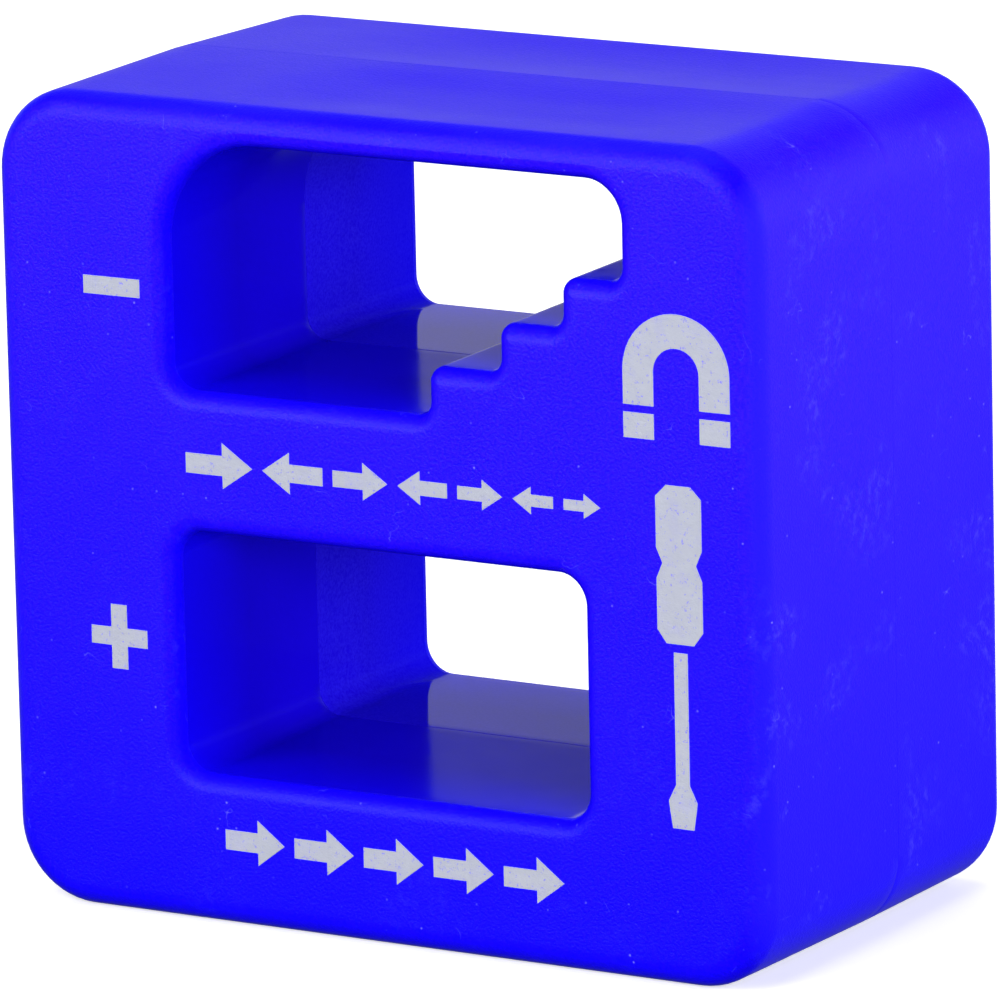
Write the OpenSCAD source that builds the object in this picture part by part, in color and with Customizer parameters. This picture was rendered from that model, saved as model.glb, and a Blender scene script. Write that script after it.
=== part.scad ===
// Magnetiser and demagnetiser block: two moulded plastic half shells around two block magnets.
// The block stands on its flat base. The front face looks along -Y, +Z is up and the origin is
// the middle of the base. A tool is passed through the plain window to magnetise it, and drawn
// out step by step through the stepped window to demagnetise it.

/* [Body] */
// Width across the parting line
body_w = 52; // [48:0.1:60]
// Height from the base to the top of the parting line
body_h = 49.6; // [49.2:0.1:56]
// Depth from the front face to the rear face
body_d = 29.2; // [27:0.1:36]
// How far the parting line lies behind the middle of the depth
parting_back = 0.9; // [0:0.1:1.5]
// Corner radius of the front outline
outline_r = 5; // [4:0.1:7]
// Radius of the edges around the front and rear faces
edge_r = 1.6; // [0.8:0.1:1.8]
// Mould draft of the walls, in degrees
draft = 0.8; // [0.4:0.1:1]

/* [Magnetising window] */
// Width of the plain window
plain_w = 27.7; // [24:0.1:28]
// Height of the plain window
plain_h = 14.65; // [12:0.05:14.8]
// Height of the plain window's floor above the base
plain_z = 9.05; // [9:0.05:9.5]
// Corner radius of the plain window
plain_r = 1.8; // [1:0.1:3]

/* [Demagnetising window] */
// Left side of the stepped window, from the middle of the block
stepped_left = -14; // [-15:0.1:-12]
// Height of the stepped window's floor above the base
stepped_z = 32.15; // [32.1:0.05:32.6]
// Top of the stepped window above the base
stepped_top = 47; // [46:0.1:47.2]
// Where the first riser stands, from the middle of the block
first_riser = 3.7; // [2:0.1:5]
// Lengths of the three treads
treads = [4.8, 4.2, 3.95]; // [3:0.05:5]
// Height of each riser
riser_h = 3; // [2:0.1:3.4]
// Radius of the large corner at the upper left
sweep_r = 6; // [3:0.1:7]
// Radius of the corner at the upper right
upper_right_r = 2.4; // [1:0.1:3]
// Radius of the corner at the lower left
lower_left_r = 1.6; // [1:0.1:3]
// Radius of the step corners
step_r = 0.9; // [0.6:0.1:1.1]
// Radius of the flare where a window meets the front or rear face
flare_r = 1.1; // [0.8:0.1:1.3]

/* [Shells] */
// Thickness of the outer walls and the two faces
wall = 2; // [1.6:0.1:2.1]
// Thickness of the walls around the windows
window_wall = 1.6; // [1.2:0.1:1.65]
// Height of the locating lip inside the parting line
lip_h = 1.2; // [0.8:0.1:2]
// Thickness of the locating lip
lip_t = 0.9; // [0.6:0.1:1]
// Clearance around the locating lip
lip_gap = 0.08; // [0.05:0.01:0.15]
// Diameter of the four locating pegs
peg_d = 3; // [2:0.1:4]
// How far a peg reaches into its socket
peg_reach = 5; // [3:0.5:8]
// Outer diameter of the posts and sockets
post_d = 6; // [5:0.1:7]
// Clearance between a peg's radius and its socket
peg_gap = 0.03; // [0.02:0.01:0.1]
// Thickness of the ribs that hold the magnets
rib_t = 1.2; // [0.8:0.1:1.6]

/* [Magnets] */
// Length of a magnet across the block
magnet_w = 30; // [20:0.5:30]
// Length of a magnet from front to rear
magnet_d = 20; // [15:0.5:22]
// Thickness of a magnet, which is its magnetised direction
magnet_h = 5; // [4:0.1:5.2]
// Bevel along a magnet's edges
magnet_bevel = 0.4; // [0.2:0.1:0.8]
// Clearance between a magnet and the ribs that hold it
magnet_gap = 0.15; // [0.1:0.05:0.4]

/* [Printed marks] */
// Thickness of the printed ink
ink_t = 0.04; // [0.02:0.01:0.1]
// Height of the two rows of arrows
row_h = 2.75; // [2:0.05:3.5]

/* [Hidden] */

front_y = -body_d / 2;
rear_y = body_d / 2;
parting_y = parting_back;
wall_lean = (parting_y - front_y - edge_r) * tan(draft);  // most that a wall leans over its depth
past = 1;            // how far a cutter runs past the face that it cuts
fillet_steps = 6;    // rings in an edge fillet
arc_steps = 8;       // segments in a corner of the outline
shell_blue = [0.17, 0.1, 0.99];
ferrite = [0.22, 0.22, 0.24];
ink = [0.76, 0.77, 0.85];

// ---- Windows, as corners [x, z, radius] that run anticlockwise seen from the front ----

// The sum of the first n numbers of a list
function sum_of(list, n) = n == 0 ? 0 : list[n - 1] + sum_of(list, n - 1);

riser_x = [for (i = [0:len(treads)]) first_riser + sum_of(treads, i)];
stepped_right = riser_x[len(treads)];
plain_top = plain_z + plain_h;

plain_window = [
    [-plain_w / 2, plain_z, plain_r],
    [plain_w / 2, plain_z, plain_r],
    [plain_w / 2, plain_top, plain_r],
    [-plain_w / 2, plain_top, plain_r],
];

stepped_window = concat(
    [[stepped_left, stepped_z, lower_left_r]],
    [for (i = [0:len(treads) - 1], up = [0, 1])
        [riser_x[i], stepped_z + (i + up) * riser_h, step_r]],
    [[stepped_right, stepped_z + len(treads) * riser_h, step_r]],
    [[stepped_right, stepped_top, upper_right_r]],
    [[stepped_left, stepped_top, sweep_r]]
);

// ---- Places inside the block ----

// A magnet lies in the middle of the hollow under each window's floor
lower_magnet_z = (wall + wall_lean + plain_z - window_wall - magnet_h) / 2;
upper_magnet_z = (plain_top + stepped_z - magnet_h) / 2;
// The lip stops below the solid bar over the stepped window
lip_top = stepped_top - sweep_r;
// The posts stand in the middle of the hollow beside each window
left_post_x = (-body_w / 2 + wall + min(-plain_w / 2, stepped_left) - window_wall) / 2;
post_places = [
    [left_post_x, body_h / 6],
    [(body_w / 2 - wall + plain_w / 2 + window_wall) / 2, body_h / 6],
    [left_post_x, body_h * 5 / 6],
    [(body_w / 2 - wall + stepped_right + window_wall) / 2, body_h * 5 / 6],
];

// ---- Printed marks ----

sign_w = 3.9;        // width of the minus and of the plus
sign_bar = 1.1;      // thickness of their bars
minus_at = [-17.6, 38.1];
plus_at = [-17.75, 16.95];
arrow_gap = 0.7;     // gap between the arrows of a row
demagnetise_left = -12.75;
demagnetise_right = 15.35;
demagnetise_z = 28;
magnetise_left = -10.7;
magnetise_right = 12.45;
magnetise_z = 5.4;
aligned_count = 5;
aligned_len = (magnetise_right - magnetise_left + arrow_gap) / aligned_count - arrow_gap;
fading_count = 7;
fade = 0.9;          // size of each fading arrow against the one before
fading_total = demagnetise_right - demagnetise_left - (fading_count - 1) * arrow_gap;
fading_len = [for (i = [0:fading_count - 1])
    fading_total * (1 - fade) / (1 - pow(fade, fading_count)) * pow(fade, i)];
fading_x = [for (i = [0:fading_count - 1]) demagnetise_left + sum_of(fading_len, i) + i * arrow_gap];
horseshoe_at = [20.5, 36.3];
horseshoe_r = 3.5;
horseshoe_bar = 2;
leg_h = 2;
pole_gap = 0.45;
pole_h = 1.5;
driver_at = [20.5, 9.6];
// Right-hand sides of the screwdriver's handle and blade, as [half width, height], from the top down
handle_side = [[0.8, 20.2], [1.5, 19.5], [1.5, 16.5], [1.1, 15.6], [1.5, 14.7], [1.5, 11.7], [0.9, 10.9]];
blade_side = [[0.45, 10.4], [0.45, 2.6], [0.95, 1.6], [0.7, 0]];

// ---- Rounded outlines and lofts ----

function unit(v) = v / norm(v);

// The points of one corner, after every edge of the outline has moved outwards by grow
function corner_arc(before, at, after, grow) =
    let (
        d0 = unit([at.x - before.x, at.y - before.y]),
        d1 = unit([after.x - at.x, after.y - at.y]),
        n0 = [d0.y, -d0.x],
        n1 = [d1.y, -d1.x],
        turn = sign(d0.x * d1.y - d0.y * d1.x),
        r = max(at.z + turn * grow, 0.05),
        tip = [at.x, at.y] + grow * (n0 + n1),
        centre = tip - r * d0 - r * turn * n0
    )
    [for (k = [0:arc_steps])
        let (a = 90 * k / arc_steps)
        centre + r * turn * n0 * cos(a) + r * d0 * sin(a)];

// A closed ring of points at depth y
function ring(corners, grow, y) =
    let (n = len(corners))
    [for (i = [0:n - 1])
        for (p = corner_arc(corners[(i + n - 1) % n], corners[i], corners[(i + 1) % n], grow))
            [p.x, y, p.y]];

// A solid through a list of rings that run from the front towards the rear
module loft(rings) {
    n = len(rings[0]);
    last = len(rings) - 1;
    polyhedron(
        points = [for (r = rings) for (p = r) p],
        faces = concat(
            [[for (i = [n - 1:-1:0]) i]],
            [for (j = [0:last - 1], i = [0:n - 1], half = [0, 1])
                let (
                    a = j * n + i,
                    b = j * n + (i + 1) % n
                )
                half == 0 ? [a, b, a + n] : [b, b + n, a + n]],
            [[for (i = [0:n - 1]) last * n + i]]
        )
    );
}

// ---- The block's outside ----

// Corners of the outline, with the sides and top moved in by side and the base moved up by base
function body_corners(side, base) = [
    [-body_w / 2 + side, base, outline_r - base],
    [body_w / 2 - side, base, outline_r - base],
    [body_w / 2 - side, body_h - side, outline_r - base],
    [-body_w / 2 + side, body_h - side, outline_r - base],
];

// One half of the outside: a drafted wall from the parting line to the edge around its face
module half_body(face_y) {
    way = sign(face_y - parting_y);
    wall_d = abs(face_y - parting_y) - edge_r;
    lean = wall_d * tan(draft);
    rings = concat(
        [ring(body_corners(0, 0), 0, parting_y)],
        [for (k = [0:fillet_steps])
            let (
                a = 90 * k / fillet_steps,
                inset = edge_r * (1 - cos(a))
            )
            ring(body_corners(lean + inset, inset), 0, face_y - way * edge_r * (1 - sin(a)))]
    );
    loft(way > 0 ? rings : [for (k = [len(rings) - 1:-1:0]) rings[k]]);
}

// The space of one window in one half: drafted, with a flare where it meets the face
module half_window(corners, face_y) {
    way = sign(face_y - parting_y);
    wall_d = abs(face_y - parting_y) - flare_r;
    lean = wall_d * tan(draft);
    rings = concat(
        [ring(corners, -lean, parting_y - way * past)],
        [ring(corners, -lean, parting_y)],
        [for (k = [0:fillet_steps])
            let (a = 90 * k / fillet_steps)
            ring(corners, flare_r * (1 - cos(a)), face_y - way * flare_r * (1 - sin(a)))],
        [ring(corners, flare_r, face_y + way * past)]
    );
    loft(way > 0 ? rings : [for (k = [len(rings) - 1:-1:0]) rings[k]]);
}

// ---- The block's inside, drawn in the X-Z plane and given its depth by slab ----

module slab(y0, y1) {
    translate([0, y1, 0])
        rotate([90, 0, 0])
            linear_extrude(y1 - y0)
                children();
}

module outline(corners, grow = 0) {
    polygon([for (p = ring(corners, grow, 0)) [p.x, p.z]]);
}

module box_2d(x0, x1, z0, z1) {
    translate([x0, z0])
        square([x1 - x0, z1 - z0]);
}

// The hollow between the outer walls and the walls around the windows
module hollow_2d() {
    difference() {
        outline(body_corners(0, 0), -wall - wall_lean);
        outline(plain_window, window_wall);
        outline(stepped_window, window_wall);
    }
}

// Ribs around a magnet: one at each end and, where the steps leave no wall above it, a roof
module magnet_ribs_2d(low, high, roof) {
    side = magnet_w / 2 + magnet_gap;
    for (way = [-1, 1])
        box_2d(way * (side + rib_t / 2) - rib_t / 2, way * (side + rib_t / 2) + rib_t / 2, low, high);
    if (roof)
        box_2d(first_riser, side + rib_t, stepped_z - window_wall, high);
}

// Everything that stands in the hollow of a half: the ribs, and the pads behind each magnet
module ribs(root_y, rib_y) {
    pad_y = sign(root_y) * (magnet_d / 2 + magnet_gap);
    slab(min(root_y, rib_y), max(root_y, rib_y)) {
        magnet_ribs_2d(plain_top + window_wall - rib_t, stepped_z - window_wall + rib_t, true);
        magnet_ribs_2d(wall + wall_lean / 2, plain_z - window_wall + rib_t, false);
    }
    slab(min(root_y, pad_y), max(root_y, pad_y))
        for (x = [-1, 1] * magnet_w / 3, z = [upper_magnet_z, lower_magnet_z])
            box_2d(x - rib_t / 2, x + rib_t / 2, z - rib_t, z + magnet_h + rib_t);
}

// One round post, bore or peg at each of the four posts' places
module at_posts(y0, y1, d) {
    for (p = post_places)
        translate([p.x, y1, p.y])
            rotate([90, 0, 0])
                cylinder(d = d, h = y1 - y0, $fn = 48);
}

// The lip inside the parting line, along the two sides and the base
module lip_2d(gap) {
    lip_in = wall + wall_lean;
    intersection() {
        difference() {
            outline(body_corners(0, 0), -lip_in + lip_t + gap);
            outline(body_corners(0, 0), -lip_in);
        }
        box_2d(-body_w, body_w, -past, lip_top + gap);
    }
}

// One half of the moulding. Its ribs run from the face to rib_y and its posts to the parting line
module half_shell(face_y, rib_y) {
    way = sign(face_y - parting_y);
    hollow_y = face_y - way * wall;
    root_y = face_y - way * wall / 2;
    open_y = parting_y - way * past;
    difference() {
        union() {
            difference() {
                half_body(face_y);
                slab(min(hollow_y, open_y), max(hollow_y, open_y))
                    hollow_2d();
            }
            ribs(root_y, rib_y);
            at_posts(min(root_y, parting_y), max(root_y, parting_y), post_d);
        }
        half_window(plain_window, face_y);
        half_window(stepped_window, face_y);
    }
}

// ---- Sub-parts ----

module front_shell() {
    color(shell_blue) {
        half_shell(front_y, parting_y);
        at_posts(parting_y - past, parting_y + peg_reach, peg_d);
        slab(parting_y - past, parting_y + lip_h)
            lip_2d(0);
    }
}

module rear_shell() {
    color(shell_blue)
        difference() {
            half_shell(rear_y, parting_y + lip_h + past / 2);
            at_posts(parting_y - past, parting_y + peg_reach + past / 2, peg_d + 2 * peg_gap);
            slab(parting_y - past, parting_y + lip_h + lip_gap)
                lip_2d(lip_gap);
        }
}

// A pressed ferrite block with a bevel along every edge
module magnet(z) {
    b = magnet_bevel;
    w = magnet_w / 2;
    d = magnet_d / 2;
    color(ferrite)
        translate([0, 0, z])
            intersection() {
                linear_extrude(magnet_h)
                    polygon([[-w + b, -d], [w - b, -d], [w, -d + b], [w, d - b],
                             [w - b, d], [-w + b, d], [-w, d - b], [-w, -d + b]]);
                translate([0, d, 0])
                    rotate([90, 0, 0])
                        linear_extrude(2 * d)
                            polygon([[-w + b, 0], [w - b, 0], [w, b], [w, magnet_h - b],
                                     [w - b, magnet_h], [-w + b, magnet_h], [-w, magnet_h - b], [-w, b]]);
            }
}

module upper_magnet() {
    magnet(upper_magnet_z);
}

module lower_magnet() {
    magnet(lower_magnet_z);
}

// ---- Printed marks: thin films of ink on the front face ----

module print() {
    color(ink)
        slab(front_y - ink_t, front_y)
            children();
}

// A block arrow as long as len and as tall as tall, centred on its own middle, pointing along way
module arrow_2d(len, tall, way) {
    head = 0.45 * len;
    shaft = 0.44 * tall;
    mirror([way < 0 ? 1 : 0, 0])
        polygon([[-len / 2, -shaft / 2], [len / 2 - head, -shaft / 2], [len / 2 - head, -tall / 2],
                 [len / 2, 0], [len / 2 - head, tall / 2], [len / 2 - head, shaft / 2],
                 [-len / 2, shaft / 2]]);
}

module minus_mark() {
    print()
        translate(minus_at)
            square([sign_w, sign_bar], center = true);
}

module plus_mark() {
    print()
        translate(plus_at) {
            square([sign_w, sign_bar], center = true);
            square([sign_bar, sign_w], center = true);
        }
}

// Arrows that swing to and fro and die away, for a field that is taken out
module demagnetise_mark() {
    print()
        for (i = [0:fading_count - 1])
            translate([fading_x[i] + fading_len[i] / 2, demagnetise_z])
                arrow_2d(fading_len[i], row_h * pow(fade, i), i % 2 == 0 ? 1 : -1);
}

// Equal arrows in line, for a field that is put in
module magnetise_mark() {
    print()
        for (i = [0:aligned_count - 1])
            translate([magnetise_left + aligned_len / 2 + i * (aligned_len + arrow_gap), magnetise_z])
                arrow_2d(aligned_len, row_h, 1);
}

// A horseshoe magnet over an upright screwdriver
module tool_mark() {
    print() {
        horseshoe_2d();
        screwdriver_2d();
    }
}

module horseshoe_2d() {
    translate(horseshoe_at) {
        intersection() {
            difference() {
                circle(r = horseshoe_r, $fn = 64);
                circle(r = horseshoe_r - horseshoe_bar, $fn = 64);
            }
            box_2d(-horseshoe_r, horseshoe_r, 0, horseshoe_r);
        }
        for (way = [-1, 1])
            translate([way * (horseshoe_r - horseshoe_bar / 2), 0]) {
                translate([-horseshoe_bar / 2, -leg_h])
                    square([horseshoe_bar, leg_h]);
                translate([-horseshoe_bar / 2, -leg_h - pole_gap - pole_h])
                    square([horseshoe_bar, pole_h]);
            }
    }
}

// The shape between a right-hand side and its mirror image
module turned_2d(side) {
    n = len(side);
    polygon(concat(side, [for (k = [n - 1:-1:0]) [-side[k].x, side[k].y]]));
}

// A waisted handle over a round blade with a flat tip
module screwdriver_2d() {
    translate(driver_at) {
        turned_2d(handle_side);
        turned_2d(blade_side);
    }
}

front_shell();
rear_shell();
upper_magnet();
lower_magnet();
minus_mark();
plus_mark();
demagnetise_mark();
magnetise_mark();
tool_mark();
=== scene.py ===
"""Looks for the magnetiser and demagnetiser block: moulded shells, two ferrite magnets and printed marks.

Lengths are in millimetres up to the point where a mesh is made; Blender gets metres. +X is right,
the front looks along -Y and +Z is up, as in the CAD model.
"""

import math

import bmesh
import bpy
from mathutils import Matrix, Vector
from mathutils.geometry import delaunay_2d_cdt


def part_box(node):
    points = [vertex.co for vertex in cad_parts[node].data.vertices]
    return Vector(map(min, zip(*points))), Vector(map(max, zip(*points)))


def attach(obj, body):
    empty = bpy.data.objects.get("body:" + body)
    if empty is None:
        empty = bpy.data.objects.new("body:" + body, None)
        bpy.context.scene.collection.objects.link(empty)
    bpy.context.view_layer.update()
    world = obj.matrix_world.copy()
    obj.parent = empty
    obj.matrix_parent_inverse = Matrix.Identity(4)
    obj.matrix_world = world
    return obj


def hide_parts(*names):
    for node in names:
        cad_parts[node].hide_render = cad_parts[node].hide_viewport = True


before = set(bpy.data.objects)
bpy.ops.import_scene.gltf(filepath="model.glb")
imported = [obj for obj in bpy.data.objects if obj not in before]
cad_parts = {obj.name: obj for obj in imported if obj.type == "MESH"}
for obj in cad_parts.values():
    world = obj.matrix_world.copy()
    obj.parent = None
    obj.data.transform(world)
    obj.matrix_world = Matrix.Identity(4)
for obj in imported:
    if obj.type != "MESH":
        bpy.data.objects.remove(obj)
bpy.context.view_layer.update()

MM = 0.001


# ---------------------------------------------------------------- sizes, from the frame where it has them

def node_box(node):
    """Lowest and highest corner of a CAD node, in millimetres."""
    low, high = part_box(node)
    return low / MM, high / MM


FRONT_LOW, FRONT_HIGH = node_box("front_shell")
REAR_LOW, REAR_HIGH = node_box("rear_shell")
BODY_W = FRONT_HIGH.x - FRONT_LOW.x
BODY_H = FRONT_HIGH.z
FRONT_Y = FRONT_LOW.y
REAR_Y = REAR_HIGH.y
PARTING_Y = REAR_LOW.y
UPPER_MAGNET = node_box("upper_magnet")
LOWER_MAGNET = node_box("lower_magnet")

# The block's outside
OUTLINE_R = 5.0
EDGE_R = 1.6
DRAFT = math.radians(0.8)
WALL_LEAN = (PARTING_Y - FRONT_Y - EDGE_R) * math.tan(DRAFT)  # most that a wall leans over its depth

# The two windows
PLAIN_W, PLAIN_H, PLAIN_Z, PLAIN_R = 27.7, 14.65, 9.05, 1.8
PLAIN_TOP = PLAIN_Z + PLAIN_H
STEPPED_LEFT, STEPPED_Z, STEPPED_TOP = -14.0, 32.15, 47.0
FIRST_RISER = 3.7
TREADS = (4.8, 4.2, 3.95)
RISER_H = 3.0
SWEEP_R, UPPER_RIGHT_R, LOWER_LEFT_R, STEP_R = 6.0, 2.4, 1.6, 0.9
FLARE_R = 1.1  # where a window meets the front or rear face

# The inside
WALL, WINDOW_WALL = 2.0, 1.6
LIP_H, LIP_T, LIP_GAP = 1.2, 0.9, 0.08
LIP_INSET = 0.02  # the lip stands this far back from the inside of the wall, and its rebate runs this far past it
LIP_TOP = STEPPED_TOP - SWEEP_R
PEG_D, PEG_REACH, PEG_GAP, POST_D = 3.0, 5.0, 0.03, 6.0
BORE_SPARE = 0.5  # how much deeper a peg's bore is than the peg
RIB_T, MAGNET_GAP = 1.2, 0.15
RIB_SPARE = 0.5   # how far the rear ribs stay behind the end of the lip

# What moulding leaves, which the CAD model doesn't have
PARTING_R = 0.035        # the small rounding along the parting line outside
WINDOW_PARTING_R = 0.05  # the same in the windows, where the cores meet
WINDOW_STEP = 0.035      # how much smaller the rear core makes its windows, which leaves a fine ledge
SINK = 0.32              # how far the thin top bar draws in as it cools
SINK_HEIGHTS = (BODY_H - 8, BODY_H - 3)  # where the sink starts, and where it is full
SINK_RIGHT = (12, 24)                    # where it fades on the right
SINK_RIGHT_LOSS = 0.6                    # and how much of it goes
FRONT_SINK_LEFT, REAR_SINK_LEFT = (-12, -3), (-16, -2)  # where it sets in on the left, in each half
FRONT_SINK_NEAR = (-0.05, 0.42)          # how it sets in from the parting line, as shares of the wall's depth
FRONT_SINK_FAR = (-0.1, 0.35)            # and from the fillet

# How finely the meshes are made
ARC_STEPS = 14       # segments in a corner of an outline
DISC_STEPS = 48      # segments in a round tool
EDGE_STEP = 1.0      # spacing of points along a straight stretch of an outline
PARTING_STEPS = 2    # rings in the rounding along the parting line
FILLET_STEPS = 10    # rings in an edge fillet
WALL_RINGS = 16      # rings between the parting line and a fillet
FACE_GRID = 1.0      # spacing of the points inside a flat face
LEAST_R = 0.05       # smallest radius of a corner
PAST = 1.0           # how far a tool runs past the face that it cuts
HARD_ANGLE = math.radians(35)  # two faces that meet at more than this have a hard edge between them

RISER_X = [FIRST_RISER + sum(TREADS[:i]) for i in range(len(TREADS) + 1)]

# Corners are (x, z, radius), anticlockwise seen from the front.
PLAIN_WINDOW = [
    (-PLAIN_W / 2, PLAIN_Z, PLAIN_R), (PLAIN_W / 2, PLAIN_Z, PLAIN_R),
    (PLAIN_W / 2, PLAIN_TOP, PLAIN_R), (-PLAIN_W / 2, PLAIN_TOP, PLAIN_R),
]
STEPPED_WINDOW = (
    [(STEPPED_LEFT, STEPPED_Z, LOWER_LEFT_R)]
    + [(RISER_X[i], STEPPED_Z + (i + up) * RISER_H, STEP_R) for i in range(len(TREADS)) for up in (0, 1)]
    + [(RISER_X[-1], STEPPED_Z + len(TREADS) * RISER_H, STEP_R),
       (RISER_X[-1], STEPPED_TOP, UPPER_RIGHT_R), (STEPPED_LEFT, STEPPED_TOP, SWEEP_R)]
)
WINDOWS = (PLAIN_WINDOW, STEPPED_WINDOW)

# The posts stand in the middle of the hollow beside each window.
LEFT_POST_X = (-BODY_W / 2 + WALL + min(-PLAIN_W / 2, STEPPED_LEFT) - WINDOW_WALL) / 2
POST_PLACES = (
    (LEFT_POST_X, BODY_H / 6), ((BODY_W / 2 - WALL + PLAIN_W / 2 + WINDOW_WALL) / 2, BODY_H / 6),
    (LEFT_POST_X, BODY_H * 5 / 6), ((BODY_W / 2 - WALL + RISER_X[-1] + WINDOW_WALL) / 2, BODY_H * 5 / 6),
)


# ---------------------------------------------------------------- outlines

def body_corners(side, base):
    """The block's outline, with its sides and top moved in by side and its base moved up by base."""
    r = OUTLINE_R - base
    return [(-BODY_W / 2 + side, base, r), (BODY_W / 2 - side, base, r),
            (BODY_W / 2 - side, BODY_H - side, r), (-BODY_W / 2 + side, BODY_H - side, r)]


def quarter(steps):
    """(sine, cosine) at even steps from 0 to 90 degrees."""
    angles = [math.pi / 2 * k / steps for k in range(steps + 1)]
    return [(math.sin(a), math.cos(a)) for a in angles]


def corner_arc(before, at, after, grow):
    """The points of one rounded corner, after every edge has moved outwards by grow."""
    tip = Vector(at[:2])
    d0 = (tip - Vector(before[:2])).normalized()
    d1 = (Vector(after[:2]) - tip).normalized()
    n0, n1 = Vector((d0.y, -d0.x)), Vector((d1.y, -d1.x))
    turn = 1.0 if d0.x * d1.y - d0.y * d1.x > 0 else -1.0
    r = max(at[2] + turn * grow, LEAST_R)
    centre = tip + grow * (n0 + n1) - r * d0 - r * turn * n0
    return [centre + r * turn * n0 * cosine + r * d0 * sine for sine, cosine in quarter(ARC_STEPS)]


def outline(corners, grow=0.0, spacing=EDGE_STEP, like=None):
    """A closed outline as 2-D points. Outlines that are made like the same corners have as many points."""
    n = len(corners)
    arcs = [corner_arc(corners[i - 1], corners[i], corners[(i + 1) % n], grow) for i in range(n)]
    like = like or corners
    points = []
    for i in range(n):
        straight = math.dist(like[i][:2], like[(i + 1) % n][:2])
        splits = max(1, round(straight / spacing)) if spacing else 1
        start, end = arcs[i][-1], arcs[(i + 1) % n][0]
        points += arcs[i]
        points += [start.lerp(end, k / splits) for k in range(1, splits)]
    return points


def inside(point, polygon):
    """True if a 2-D point lies in a polygon."""
    hit = False
    for a, b in zip(polygon, polygon[1:] + polygon[:1]):
        if (a[1] > point[1]) != (b[1] > point[1]):
            if point[0] < a[0] + (point[1] - a[1]) / (b[1] - a[1]) * (b[0] - a[0]):
                hit = not hit
    return hit


# ---------------------------------------------------------------- mesh work

def add_ring(bm, points, y):
    """The vertices of an outline at depth y."""
    return [bm.verts.new((p[0] * MM, y * MM, p[1] * MM)) for p in points]


def bridge(bm, near, far, material=0):
    """Quads between two rings of the same length."""
    n = len(near)
    for i in range(n):
        face = bm.faces.new((near[i], near[(i + 1) % n], far[(i + 1) % n], far[i]))
        face.material_index = material
        face.smooth = True


def fill(bm, ring, y, grid=None):
    """Triangles over the flat area inside a ring at depth y, with points grid apart inside it if that is given."""
    triangles_inside, tolerance, margin_share = 1, 1e-6, 0.45
    line = [Vector((v.co.x / MM, v.co.z / MM)) for v in ring]
    edges = [(i, (i + 1) % len(line)) for i in range(len(line))]
    extra = []
    if grid:
        margin = grid * margin_share
        near = [(dx, dz) for dx in (-margin, 0, margin) for dz in (-margin, 0, margin)]
        lows = [min(p[k] for p in line) for k in (0, 1)]
        highs = [max(p[k] for p in line) for k in (0, 1)]
        for i in range(int((highs[0] - lows[0]) / grid)):
            for j in range(int((highs[1] - lows[1]) / grid)):
                p = Vector((lows[0] + (i + 0.5 + 0.5 * (j % 2)) * grid, lows[1] + (j + 0.5) * grid))
                if all(inside((p.x + dx, p.y + dz), line) for dx, dz in near):
                    extra.append(p)
    result = delaunay_2d_cdt(line + extra, edges, [], triangles_inside, tolerance)
    points, triangles, sources = result[0], result[2], result[3]
    made = []
    for p, origins in zip(points, sources):
        first = min(origins, default=len(ring))
        made.append(ring[first] if first < len(ring) else bm.verts.new((p.x * MM, y * MM, p.y * MM)))
    for triangle in triangles:
        bm.faces.new([made[i] for i in triangle]).smooth = True


def tidy(bm):
    """Consistent outward normals, and hard edges only where two faces meet at a real angle."""
    bm.normal_update()
    bmesh.ops.recalc_face_normals(bm, faces=bm.faces)
    for edge in bm.edges:
        edge.smooth = len(edge.link_faces) != 2 or edge.calc_face_angle(0.0) < HARD_ANGLE


def make_object(bm, name, materials=()):
    """Turns a bmesh into an object of the scene."""
    tidy(bm)
    mesh = bpy.data.meshes.new(name)
    bm.to_mesh(mesh)
    bm.free()
    for material in materials:
        mesh.materials.append(material)
    made = bpy.data.objects.new(name, mesh)
    bpy.context.scene.collection.objects.link(made)
    return made


def prism(points, y0, y1):
    """A closed solid that runs from depth y0 to y1 with the given outline. It is a tool for combine()."""
    bm = bmesh.new()
    near, far = add_ring(bm, points, min(y0, y1)), add_ring(bm, points, max(y0, y1))
    bridge(bm, near, far)
    bm.faces.new(near)
    bm.faces.new(far[::-1])
    return make_object(bm, "tool")


def rectangle(x0, x1, z0, z1):
    """The corners of a rectangle, for prism()."""
    return [(x0, z0), (x1, z0), (x1, z1), (x0, z1)]


def disc(x, z, r):
    """The points of a circle, for prism()."""
    angles = [2 * math.pi * k / DISC_STEPS for k in range(DISC_STEPS)]
    return [(x + r * math.cos(a), z + r * math.sin(a)) for a in angles]


def gather(parts):
    """Makes one tool of several solids that don't touch each other."""
    bm = bmesh.new()
    for part in parts:
        bm.from_mesh(part.data)
        bpy.data.objects.remove(part)
    return make_object(bm, "tool")


def bake(target):
    """Applies the modifiers of an object to its mesh."""
    bpy.context.view_layer.update()
    graph = bpy.context.evaluated_depsgraph_get()
    mesh = bpy.data.meshes.new_from_object(target.evaluated_get(graph))
    target.modifiers.clear()
    old = target.data
    target.data = mesh
    bpy.data.meshes.remove(old)


def combine(target, tool, operation):
    """Applies one boolean to target and removes the tool."""
    modifier = target.modifiers.new(operation, "BOOLEAN")
    modifier.operation = operation
    modifier.solver = "EXACT"
    modifier.object = tool
    bake(target)
    bpy.data.objects.remove(tool)


# ---------------------------------------------------------------- the shells

def ease(value, start, end):
    """Goes smoothly from 0 at start to 1 at end."""
    t = max(0.0, min(1.0, (value - start) / (end - start)))
    return t * t * (3 - 2 * t)


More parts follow.
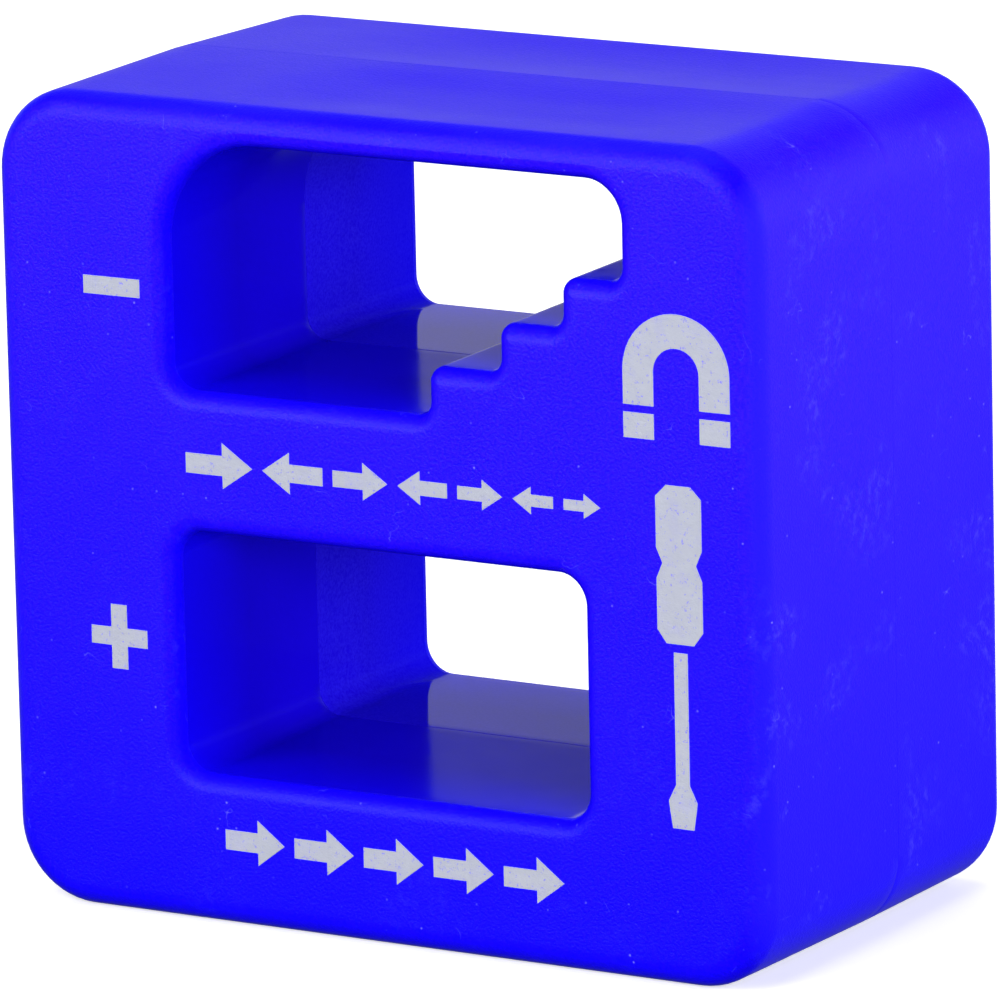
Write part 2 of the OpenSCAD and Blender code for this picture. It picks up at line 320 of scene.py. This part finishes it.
def shrink(v, face_y):
    """Draws a vertex of the outer wall in: the top over the stepped window sinks between its edges in each half."""
    x, y, z = v.co / MM
    t = min(1.0, abs(y - PARTING_Y) / (abs(face_y - PARTING_Y) - EDGE_R))  # 0 at the parting line, 1 at the fillet
    if face_y < PARTING_Y:
        depth = ease(t, *FRONT_SINK_NEAR) * ease(1 - t, *FRONT_SINK_FAR) * ease(x, *FRONT_SINK_LEFT)
    else:
        depth = 4 * t * (1 - t) * ease(x, *REAR_SINK_LEFT)
    depth *= SINK * ease(z, *SINK_HEIGHTS) * (1 - SINK_RIGHT_LOSS * ease(x, *SINK_RIGHT))
    limit_x, limit_z = BODY_W / 2 - OUTLINE_R, BODY_H - OUTLINE_R
    out = Vector((x - max(-limit_x, min(limit_x, x)), z - min(limit_z, z)))
    if out.length > 0 and depth > 0:
        out.normalize()
        v.co.x -= out.x * depth * MM
        v.co.z -= out.y * depth * MM


def outer_rings(face_y):
    """(outline, depth) from the parting line to the rim of the face."""
    way = 1 if face_y > PARTING_Y else -1
    wall_d = abs(face_y - PARTING_Y) - EDGE_R
    insets = []
    for sine, cosine in quarter(PARTING_STEPS):
        inset = PARTING_R * (1 - sine)
        insets.append((inset, inset, PARTING_Y + way * PARTING_R * (1 - cosine)))
    for k in range(1, WALL_RINGS):
        depth = PARTING_R + (wall_d - PARTING_R) * k / WALL_RINGS
        insets.append((depth * math.tan(DRAFT), 0, PARTING_Y + way * depth))
    for sine, cosine in quarter(FILLET_STEPS):
        inset = EDGE_R * (1 - cosine)
        insets.append((wall_d * math.tan(DRAFT) + inset, inset, face_y - way * EDGE_R * (1 - sine)))
    plain = body_corners(0, 0)
    return [(outline(body_corners(side, base), like=plain), y) for side, base, y in insets]


def window_rings(corners, face_y):
    """(outline, depth) from the parting line to the rim of the window's mouth."""
    way = 1 if face_y > PARTING_Y else -1
    wall_d = abs(face_y - PARTING_Y) - FLARE_R
    lean = wall_d * math.tan(DRAFT)
    step = WINDOW_STEP if way > 0 else 0.0
    rings = []
    for sine, cosine in quarter(PARTING_STEPS):
        grow = -lean - step + WINDOW_PARTING_R * (1 - sine)
        rings.append((outline(corners, grow), PARTING_Y + way * WINDOW_PARTING_R * (1 - cosine)))
    for k in range(1, WALL_RINGS):
        depth = WINDOW_PARTING_R + (wall_d - WINDOW_PARTING_R) * k / WALL_RINGS
        rings.append((outline(corners, -(lean + step) * (1 - depth / wall_d)), PARTING_Y + way * depth))
    for sine, cosine in quarter(FILLET_STEPS):
        rings.append((outline(corners, FLARE_R * (1 - cosine)), face_y - way * FLARE_R * (1 - sine)))
    return rings


OUTSIDE, INSIDE = 0, 1  # material slots of a shell


def window_cutter(corners, face_y, materials):
    """The space of one window in one half, from past the parting line to past the face."""
    way = 1 if face_y > PARTING_Y else -1
    rings = window_rings(corners, face_y)
    rings.insert(0, (rings[0][0], PARTING_Y - way * PAST))
    rings.append((rings[-1][0], face_y + way * PAST))
    bm = bmesh.new()
    made = [add_ring(bm, points, y) for points, y in rings]
    walls_end = len(made) - 2 - FILLET_STEPS  # the flare and the end past the face come after
    for k in range(len(made) - 1):
        bridge(bm, made[k], made[k + 1], INSIDE if k < walls_end else OUTSIDE)
    bm.faces.new(made[0])
    bm.faces.new(made[-1][::-1])
    return make_object(bm, "tool", materials)


def outer_skin(face_y, name, materials):
    """One half of the block as a closed solid with its windows and its fine outer shape, not yet hollow."""
    bm = bmesh.new()
    made = [add_ring(bm, points, y) for points, y in outer_rings(face_y)]
    for near, far in zip(made, made[1:]):
        bridge(bm, near, far)
    for ring in made[PARTING_STEPS:]:  # the parting line stays where it is
        for v in ring:
            shrink(v, face_y)
    fill(bm, made[0], PARTING_Y)
    fill(bm, made[-1], face_y, FACE_GRID)
    skin = make_object(bm, name, materials)
    for corners in WINDOWS:
        combine(skin, window_cutter(corners, face_y, materials), "DIFFERENCE")
    return skin


def magnet_ribs(low, high, roof):
    """Outlines of the ribs at a magnet's two ends and, under the steps, of the roof over it."""
    side = UPPER_MAGNET[1].x + MAGNET_GAP
    ribs = [rectangle(way * (side + RIB_T / 2) - RIB_T / 2, way * (side + RIB_T / 2) + RIB_T / 2, low, high)
            for way in (-1, 1)]
    if roof:
        ribs.append(rectangle(FIRST_RISER, side + RIB_T, STEPPED_Z - WINDOW_WALL, high))
    return ribs


def hollow(face_y, rib_y):
    """The space inside one half. What is left standing in it are the posts, the ribs and the magnets' pads.

    The ribs end at depth rib_y, or at the parting line if that is None.
    """
    way = 1 if face_y > PARTING_Y else -1
    root_y = face_y - way * WALL / 2     # what is left standing is rooted inside the face's wall
    past_y = PARTING_Y - way * 2 * PAST  # and runs past the end of the space
    space = prism(outline(body_corners(0, 0), -WALL - WALL_LEAN, spacing=0),
                  face_y - way * WALL, PARTING_Y - way * PAST)
    for corners in WINDOWS:
        combine(space, prism(outline(corners, WINDOW_WALL, spacing=0), root_y, past_y), "DIFFERENCE")
    for x, z in POST_PLACES:
        combine(space, prism(disc(x, z, POST_D / 2), root_y, past_y), "DIFFERENCE")
    ribs = (magnet_ribs(PLAIN_TOP + WINDOW_WALL - RIB_T, STEPPED_Z - WINDOW_WALL + RIB_T, True)
            + magnet_ribs(WALL + WALL_LEAN / 2, PLAIN_Z - WINDOW_WALL + RIB_T, False))
    rib_end = past_y if rib_y is None else rib_y
    for rib in ribs:
        combine(space, prism(rib, root_y, rib_end), "DIFFERENCE")
    pad_y = way * (UPPER_MAGNET[1].y + MAGNET_GAP)
    pad_x = UPPER_MAGNET[1].x * 2 / 3  # each pad stands two thirds of the way from the middle to the end
    for magnet in (UPPER_MAGNET, LOWER_MAGNET):
        for x in (-pad_x, pad_x):
            pad = rectangle(x - RIB_T / 2, x + RIB_T / 2, magnet[0].z - RIB_T, magnet[1].z + RIB_T)
            combine(space, prism(pad, root_y, pad_y), "DIFFERENCE")
    return space


def lip(gap, y0, y1):
    """The locating lip along the two sides and the base, or with a gap the rebate that takes it."""
    lip_in = WALL + WALL_LEAN + (LIP_INSET if gap else -LIP_INSET)
    band = prism(outline(body_corners(0, 0), -WALL - WALL_LEAN + LIP_T + gap, spacing=0), y0, y1)
    combine(band, prism(outline(body_corners(0, 0), -lip_in, spacing=0), y0 - PAST, y1 + PAST), "DIFFERENCE")
    above = rectangle(-BODY_W, BODY_W, LIP_TOP + gap, 2 * BODY_H)
    combine(band, prism(above, y0 - PAST, y1 + PAST), "DIFFERENCE")
    return band


def front_shell(materials):
    """The front half: hollow, with the pegs and the locating lip."""
    shell = outer_skin(FRONT_Y, "front_shell_moulding", materials)
    combine(shell, hollow(FRONT_Y, None), "DIFFERENCE")
    pegs = [prism(disc(x, z, PEG_D / 2), PARTING_Y - PAST, PARTING_Y + PEG_REACH) for x, z in POST_PLACES]
    combine(shell, gather(pegs + [lip(0.0, PARTING_Y - PAST, PARTING_Y + LIP_H)]), "UNION")
    return finish_shell(shell)


def rear_shell(materials):
    """The rear half: hollow, with the bores for the pegs and the rebate for the lip."""
    shell = outer_skin(REAR_Y, "rear_shell_moulding", materials)
    combine(shell, hollow(REAR_Y, PARTING_Y + LIP_H + RIB_SPARE), "DIFFERENCE")
    bores = [prism(disc(x, z, PEG_D / 2 + PEG_GAP), PARTING_Y - PAST, PARTING_Y + PEG_REACH + BORE_SPARE)
             for x, z in POST_PLACES]
    combine(shell, gather(bores + [lip(LIP_GAP, PARTING_Y - PAST, PARTING_Y + LIP_H + LIP_GAP)]), "DIFFERENCE")
    return finish_shell(shell)


def finish_shell(shell):
    """Cleans what the booleans leave, sets the hard edges again and evens the shading of the flat faces."""
    same_place, no_length = 1e-7, 1e-8
    bm = bmesh.new()
    bm.from_mesh(shell.data)
    bmesh.ops.remove_doubles(bm, verts=bm.verts, dist=same_place)
    bmesh.ops.dissolve_degenerate(bm, edges=bm.edges, dist=no_length)
    for face in bm.faces:
        face.smooth = True
    tidy(bm)
    bm.to_mesh(shell.data)
    bm.free()
    even = shell.modifiers.new("even", "WEIGHTED_NORMAL")
    even.mode, even.keep_sharp = "FACE_AREA", True
    bake(shell)
    return shell


# ---------------------------------------------------------------- materials
# Colours are linear RGB. A ramp's stops are (position, value), where a value is a grey or a colour.

DUST = (0.5, 0.5, 0.9)  # the pale blue of dust, scratches and rubs
GRAIN_SIZE = 0.17       # the fine grain that spark erosion leaves in the mould, in mm
GRAIN_STOPS = [(0.3, 0.0), (0.7, 1.0)]


def add_ramp(tree, source, stops):
    """A colour ramp's output."""
    node = tree.nodes.new("ShaderNodeValToRGB")
    elements = node.color_ramp.elements
    while len(elements) < len(stops):
        elements.new(0.5)
    for element, (position, value) in zip(elements, stops):
        element.position = position
        colour = value if isinstance(value, tuple) else (value, value, value)
        element.color = (*colour, 1)
    tree.links.new(source, node.inputs["Fac"])
    return node.outputs["Color"]


class Nodes:
    """Short calls for building one material."""

    def __init__(self, name):
        self.material = bpy.data.materials.new(name)
        self.material.use_nodes = True
        self.tree = self.material.node_tree
        self.shader = self.tree.nodes["Principled BSDF"]
        self.place = self.add("ShaderNodeTexCoord").outputs["Object"]

    def add(self, kind, **values):
        """A new node. Each value goes to the input of that name, or else to the setting."""
        node = self.tree.nodes.new(kind)
        for name, value in values.items():
            if name in node.inputs:
                node.inputs[name].default_value = value
            else:
                setattr(node, name, value)
        return node

    def link(self, source, target):
        self.tree.links.new(source, target)

    def noise(self, size_mm, detail=2.0, roughness=0.5, distortion=0.0, stretch=(1, 1, 1)):
        """Noise whose features are about size_mm across."""
        mapping = self.add("ShaderNodeMapping")
        mapping.inputs["Scale"].default_value = stretch
        self.link(self.place, mapping.inputs["Vector"])
        node = self.add("ShaderNodeTexNoise", Scale=1 / (size_mm * MM), Detail=detail,
                        Roughness=roughness, Distortion=distortion)
        self.link(mapping.outputs["Vector"], node.inputs["Vector"])
        return node.outputs["Fac"]

    def ramp(self, source, stops):
        """A colour ramp in this material."""
        return add_ramp(self.tree, source, stops)

    def feed(self, value, socket):
        """Gives a socket a number, a colour or another socket's output."""
        if isinstance(value, tuple):
            socket.default_value = (*value, 1)
        elif isinstance(value, (int, float)):
            socket.default_value = value
        else:
            self.link(value, socket)

    def mix(self, fac, a, b):
        """Mixes two colours."""
        node = self.add("ShaderNodeMix", data_type="RGBA")
        for value, socket in ((fac, 0), (a, 6), (b, 7)):  # the mix node's colour sockets
            self.feed(value, node.inputs[socket])
        return node.outputs[2]

    def specks(self, spacing_mm, radius_mm):
        """Round specks: where the surface cuts small balls that are spread through space."""
        node = self.add("ShaderNodeTexVoronoi", Scale=1 / (spacing_mm * MM))
        self.link(self.place, node.inputs["Vector"])
        edge = radius_mm / spacing_mm
        return self.ramp(node.outputs["Distance"], [(0.0, 1.0), (edge * 0.5, 1.0), (edge, 0.0), (1.0, 0.0)])

    def scratches(self):
        """Short curved hairlines: thin contour lines of one noise, let through in a few places by another."""
        line = self.ramp(self.noise(2.2, detail=2, distortion=0.6),
                         [(0.0, 0.0), (0.497, 0.0), (0.5, 1.0), (0.503, 0.0), (1.0, 0.0)])
        let = self.ramp(self.noise(2.9, detail=1), [(0.0, 0.0), (0.66, 0.0), (0.70, 1.0), (1.0, 1.0)])
        return self.times(line, let)

    def axis(self, name):
        """One coordinate of the place on the object, in metres."""
        node = self.add("ShaderNodeSeparateXYZ")
        self.link(self.place, node.inputs[0])
        return node.outputs[name]

    def from_middle(self, name, half):
        """How far the place lies from the middle along one axis, as a share of half the block's size."""
        return self.math("DIVIDE", self.math("ABSOLUTE", self.axis(name)), half * MM)

    def math(self, operation, *values):
        """The result of one sum on numbers or sockets."""
        node = self.add("ShaderNodeMath", operation=operation)
        for value, socket in zip(values, node.inputs):
            self.feed(value, socket)
        return node.outputs[0]

    def times(self, a, b):
        return self.math("MULTIPLY", a, b)

    def finish(self, colour, roughness, normal, specular=None):
        """Links what varies to the shader, sets the specular level and gives the material."""
        self.link(colour, self.shader.inputs["Base Color"])
        self.link(roughness, self.shader.inputs["Roughness"])
        self.link(normal, self.shader.inputs["Normal"])
        if specular is not None:
            self.shader.inputs["Specular IOR Level"].default_value = specular
        return self.material

    def bump(self, height, depth_mm, before=None):
        """Adds a bump whose full height is depth_mm."""
        node = self.add("ShaderNodeBump", Strength=1.0, Distance=depth_mm * MM)
        self.link(height, node.inputs["Height"])
        if before is not None:
            self.link(before, node.inputs["Normal"])
        return node.outputs["Normal"]


def spark_textured_blue():
    """The outside of the mouldings: saturated blue with a fine spark-eroded grain, a painted sheen and painted side
    highlights, and what handling left on it.
    """
    n = Nodes("shell_spark_textured")
    cloud = n.noise(9, detail=3)
    grain = n.ramp(n.noise(GRAIN_SIZE, detail=2, roughness=0.6), GRAIN_STOPS)
    height = n.math("DIVIDE", n.axis("Z"), BODY_H * MM)
    depth = n.from_middle("Y", -FRONT_Y)
    across = n.from_middle("X", BODY_W / 2)

    # The blue between the grain's pits and its tips, with a painted sheen: paler tips that stand in for reflected
    # light, stronger towards the top and mostly left off the fillets.
    fillet = n.ramp(depth, [(0.88, 1.0), (0.93, 0.15), (0.965, 0.15), (0.998, 1.0)])
    painted_sheen = n.times(n.ramp(height, [(0.0, 0.0), (0.25, 0.3), (1.0, 1.0)]), fillet)
    pits = n.mix(painted_sheen, (0.001, 0.0, 0.78), (0.004, 0.0003, 0.78))
    tips = n.mix(painted_sheen, (0.006, 0.0002, 0.86), (0.030, 0.004, 0.86))
    colour = n.mix(n.math("ADD", n.times(cloud, 0.2), n.times(grain, 0.9)), pits, tips)

    # Painted highlight: the two sides and their edge fillets are paler and more violet, more so towards the top.
    side = n.ramp(across, [(0.935, 0.0), (0.995, 1.0)])
    painted_side_sheen = n.times(side, n.ramp(height, [(0.0, 0.022), (1.0, 0.045)]))
    colour = n.mix(painted_side_sheen, colour, (0.34, 0.22, 0.9))

    # Faint streaks along the top, and pale rubs that are mostly on the sides.
    streaks = n.ramp(n.noise(1.1, detail=4, roughness=0.65, stretch=(0.07, 1, 1)), [(0.42, 0.0), (0.72, 1.0)])
    colour = n.mix(n.times(streaks, n.ramp(height, [(0.975, 0.0), (0.995, 0.016)])), colour, DUST)
    rubs = n.times(n.ramp(n.noise(0.7, detail=5, roughness=0.8), [(0.5, 0.0), (0.72, 1.0)]),
                   n.ramp(n.noise(5, detail=2), [(0.52, 0.0), (0.68, 0.07)]))
    colour = n.mix(n.times(rubs, n.ramp(across, [(0.93, 0.2), (0.97, 1.0)])), colour, DUST)

    # Dust that lies thicker in patches, and hairline scratches.
    patches = n.ramp(n.noise(7, detail=2), [(0.45, 0.02), (0.62, 0.22)])
    colour = n.mix(n.times(n.specks(1.2, 0.09), patches), colour, DUST)
    colour = n.mix(n.times(n.scratches(), 0.15), colour, DUST)

    roughness = n.math("ADD", n.times(cloud, 0.12), 0.34)
    waves = n.bump(n.noise(2.6, detail=2), depth_mm=0.012)
    return n.finish(colour, roughness, n.bump(grain, 0.015, before=waves), specular=0.14)


def polished_blue(name, roughness, ripple_mm, texture):
    """The insides of the windows: the same plastic from a polished core, with faint draw lines from front to rear,
    and painted shade that darkens them deep inside and pales them towards both mouths.
    """
    n = Nodes(name)
    cloud = n.noise(6, detail=3)
    grain = n.ramp(n.noise(GRAIN_SIZE, detail=2, roughness=0.6), GRAIN_STOPS)
    lines = n.noise(0.5, detail=3, roughness=0.6, stretch=(1, 0.08, 1))
    depth = n.from_middle("Y", -FRONT_Y)
    # Painted shade: a darker blue deep inside the window, blending to a paler blue towards the mouths.
    painted_recess_shade = n.mix(cloud, (0.004, 0.0002, 0.44), (0.006, 0.0004, 0.50))
    colour = n.mix(n.ramp(depth, [(0.45, 0.0), (0.925, 1.0)]), painted_recess_shade, (0.004, 0.0002, 0.74))
    colour = n.mix(n.times(grain, texture), colour, (0.05, 0.035, 0.9))
    blotches = n.ramp(n.noise(1.4, detail=4, roughness=0.7), [(0.35, 0.0), (0.75, 1.0)])
    varied = n.math("ADD", n.times(blotches, roughness), roughness)
    waves = n.bump(cloud, ripple_mm * 4)
    return n.finish(colour, varied, n.bump(lines, ripple_mm, before=waves), specular=0.04)


def ferrite():
    """Ground ceramic: dark grey with fine pores and pale grinding lines."""
    n = Nodes("ferrite_ceramic")
    grain = n.noise(0.25, detail=4, roughness=0.7)
    lines = n.ramp(n.noise(0.6, detail=3, stretch=(0.05, 1, 1)), [(0.5, 0.0), (0.8, 1.0)])
    colour = n.mix(grain, (0.028, 0.028, 0.03), (0.07, 0.07, 0.075))
    colour = n.mix(n.times(lines, 0.4), colour, (0.12, 0.12, 0.125))
    return n.finish(colour, n.math("ADD", n.times(grain, 0.25), 0.5), n.bump(grain, 0.03))


def printed_ink():
    """Pale ink, thin enough for blue to show through in pinholes and rubbed places."""
    n = Nodes("pad_printed_ink")
    holes = n.ramp(n.noise(0.22, detail=3, roughness=0.7), [(0.0, 1.0), (0.335, 1.0), (0.39, 0.0), (1.0, 0.0)])
    rubbed = n.ramp(n.noise(1.3, detail=4, roughness=0.75), [(0.0, 0.0), (0.5, 0.0), (0.75, 1.0), (1.0, 1.0)])
    colour = n.mix(n.noise(0.8, detail=3), (0.31, 0.325, 0.40), (0.355, 0.37, 0.435))
    colour = n.mix(n.times(rubbed, 0.3), colour, (0.25, 0.25, 0.6))
    colour = n.mix(n.times(holes, 0.55), colour, (0.05, 0.03, 0.8))
    roughness = n.math("ADD", n.times(rubbed, 0.15), 0.5)
    return n.finish(colour, roughness, n.bump(n.noise(0.34, detail=3, roughness=0.65), 0.02), specular=0.25)


# ---------------------------------------------------------------- building the object

outside = spark_textured_blue()
shells = {
    "front_shell": front_shell([outside, polished_blue("front_window_polished", 0.10, 0.002, 0.0)]),
    "rear_shell": rear_shell([outside, polished_blue("rear_window_polished", 0.04, 0.001, 0.18)]),
}
for cad_node, shell in shells.items():
    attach(shell, "root")
    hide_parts(cad_node)


def repaint(node, material):
    """Gives a carried-over CAD node its procedural material."""
    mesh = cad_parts[node].data
    mesh.materials.clear()
    mesh.materials.append(material)


magnet_material = ferrite()
ink_material = printed_ink()
for node in ("upper_magnet", "lower_magnet"):
    repaint(node, magnet_material)
for node in ("minus_mark", "plus_mark", "demagnetise_mark", "magnetise_mark", "tool_mark"):
    repaint(node, ink_material)


# ---------------------------------------------------------------- stage, light and camera

FLOOR_R = 6.0  # metres
SOFTBOX_DISTANCE = 0.9  # metres
# (name, azimuth, elevation, size in metres, power in watts)
SOFTBOXES = (
    ("overhead", 0, 88, 0.7, 3.8), ("front_left", -22, 25, 0.7, 7.2), ("front_right", 48, 6, 0.4, 12.0),
    ("rear_right", 125, 12, 0.5, 6.5), ("rear_left", -150, 12, 0.6, 2.8),
)
LIGHT_WALL = (1.0, 0.99, 0.9)       # the pale wall that the top and the windows' floors reflect
TOWARD_WALL = (-0.52, 0.85, 0.0)    # it is behind the block on the left

CAMERA_AZIMUTH, CAMERA_ELEVATION, CAMERA_ROLL = 31.04, 12.84, -1.25
CAMERA_DISTANCE = 619.0             # mm from the middle of the block
CAMERA_LEFT, CAMERA_DOWN = 0.094, 0.828  # mm that it stands off the line through the middle
LENS, SENSOR = 376.3, 36.0


def direction(azimuth, elevation):
    """The unit vector from the block towards a place in the room. Azimuth 0 is in front, 90 on the right."""
    a, e = math.radians(azimuth), math.radians(elevation)
    return Vector((math.sin(a) * math.cos(e), -math.cos(a) * math.cos(e), math.sin(e)))


def pale_floor():
    """A plain paper floor. It stays out of the block's reflections, which would turn its blue grey."""
    bm = bmesh.new()
    bmesh.ops.create_circle(bm, cap_ends=True, radius=FLOOR_R, segments=96)
    floor = make_object(bm, "floor")
    n = Nodes("floor_paper")
    n.link(n.mix(n.noise(60, detail=3), (0.93, 0.93, 0.93), (0.95, 0.95, 0.95)), n.shader.inputs["Base Color"])
    for name, value in (("Roughness", 0.9), ("Specular IOR Level", 0.0),
                        ("Emission Color", (1, 1, 1, 1)), ("Emission Strength", 0.4)):
        n.shader.inputs[name].default_value = value
    floor.data.materials.append(n.material)
    floor.visible_glossy = floor.visible_diffuse = False


def softbox(name, azimuth, elevation, distance, size, power):
    """A square soft light that looks at the middle of the block."""
    back = direction(azimuth, elevation)
    data = bpy.data.lights.new(name, "AREA")
    data.shape, data.size, data.energy = "SQUARE", size, power
    light = bpy.data.objects.new(name, data)
    light.location = Vector((0, 0, BODY_H * MM / 2)) + back * distance
    light.rotation_mode = "QUATERNION"
    light.rotation_quaternion = (-back).to_track_quat("-Z", "Y")
    bpy.context.scene.collection.objects.link(light)
    return light


def room():
    """The world: dark below the horizon and overhead, with a low pale wall behind the block on the left."""
    world = bpy.data.worlds.new("studio")
    world.use_nodes = True
    tree = world.node_tree
    place = tree.nodes.new("ShaderNodeTexCoord").outputs["Generated"]
    split = tree.nodes.new("ShaderNodeSeparateXYZ")
    tree.links.new(place, split.inputs[0])
    by_height = add_ramp(tree, split.outputs["Z"], [(0.0, 0.4), (0.03, LIGHT_WALL), (0.20, LIGHT_WALL),
                                                    (0.30, 0.14), (1.0, 0.10)])
    toward = tree.nodes.new("ShaderNodeVectorMath")
    toward.operation, toward.inputs[1].default_value = "DOT_PRODUCT", TOWARD_WALL
    tree.links.new(place, toward.inputs[0])
    by_side = add_ramp(tree, toward.outputs["Value"], [(0.6, 0.16), (0.86, 0.78)])
    both = tree.nodes.new("ShaderNodeMix")
    both.data_type, both.blend_type = "RGBA", "MULTIPLY"
    both.inputs[0].default_value = 1.0
    tree.links.new(by_height, both.inputs[6])
    tree.links.new(by_side, both.inputs[7])
    tree.links.new(both.outputs[2], tree.nodes["Background"].inputs["Color"])
    bpy.context.scene.world = world


def studio_light():
    """The room, soft lights that keep out of the gloss, and one small light that shows in it."""
    room()
    for name, azimuth, elevation, size, power in SOFTBOXES:
        softbox(name, azimuth, elevation, SOFTBOX_DISTANCE, size, power).visible_glossy = False
    softbox("edge_light", azimuth=-35, elevation=14, distance=0.35, size=0.14, power=0.2)


def camera():
    """A long lens a little above the block, turned to its right."""
    roll = math.radians(CAMERA_ROLL)
    back = direction(CAMERA_AZIMUTH, CAMERA_ELEVATION)
    level = (-back).cross(Vector((0, 0, 1))).normalized()
    upright = level.cross(-back)
    right = level * math.cos(roll) + upright * math.sin(roll)
    up = upright * math.cos(roll) - level * math.sin(roll)
    place = Vector((0, 0, BODY_H / 2)) + back * CAMERA_DISTANCE - right * CAMERA_LEFT - up * CAMERA_DOWN
    data = bpy.data.cameras.new("camera")
    data.sensor_width, data.lens = SENSOR, LENS
    made = bpy.data.objects.new("camera", data)
    made.matrix_world = Matrix.Translation(place * MM) @ Matrix((
        (right.x, up.x, back.x), (right.y, up.y, back.y), (right.z, up.z, back.z))).to_4x4()
    bpy.context.scene.collection.objects.link(made)
    bpy.context.scene.camera = made


pale_floor()
studio_light()
camera()
bpy.context.scene.view_settings.view_transform = "Standard"
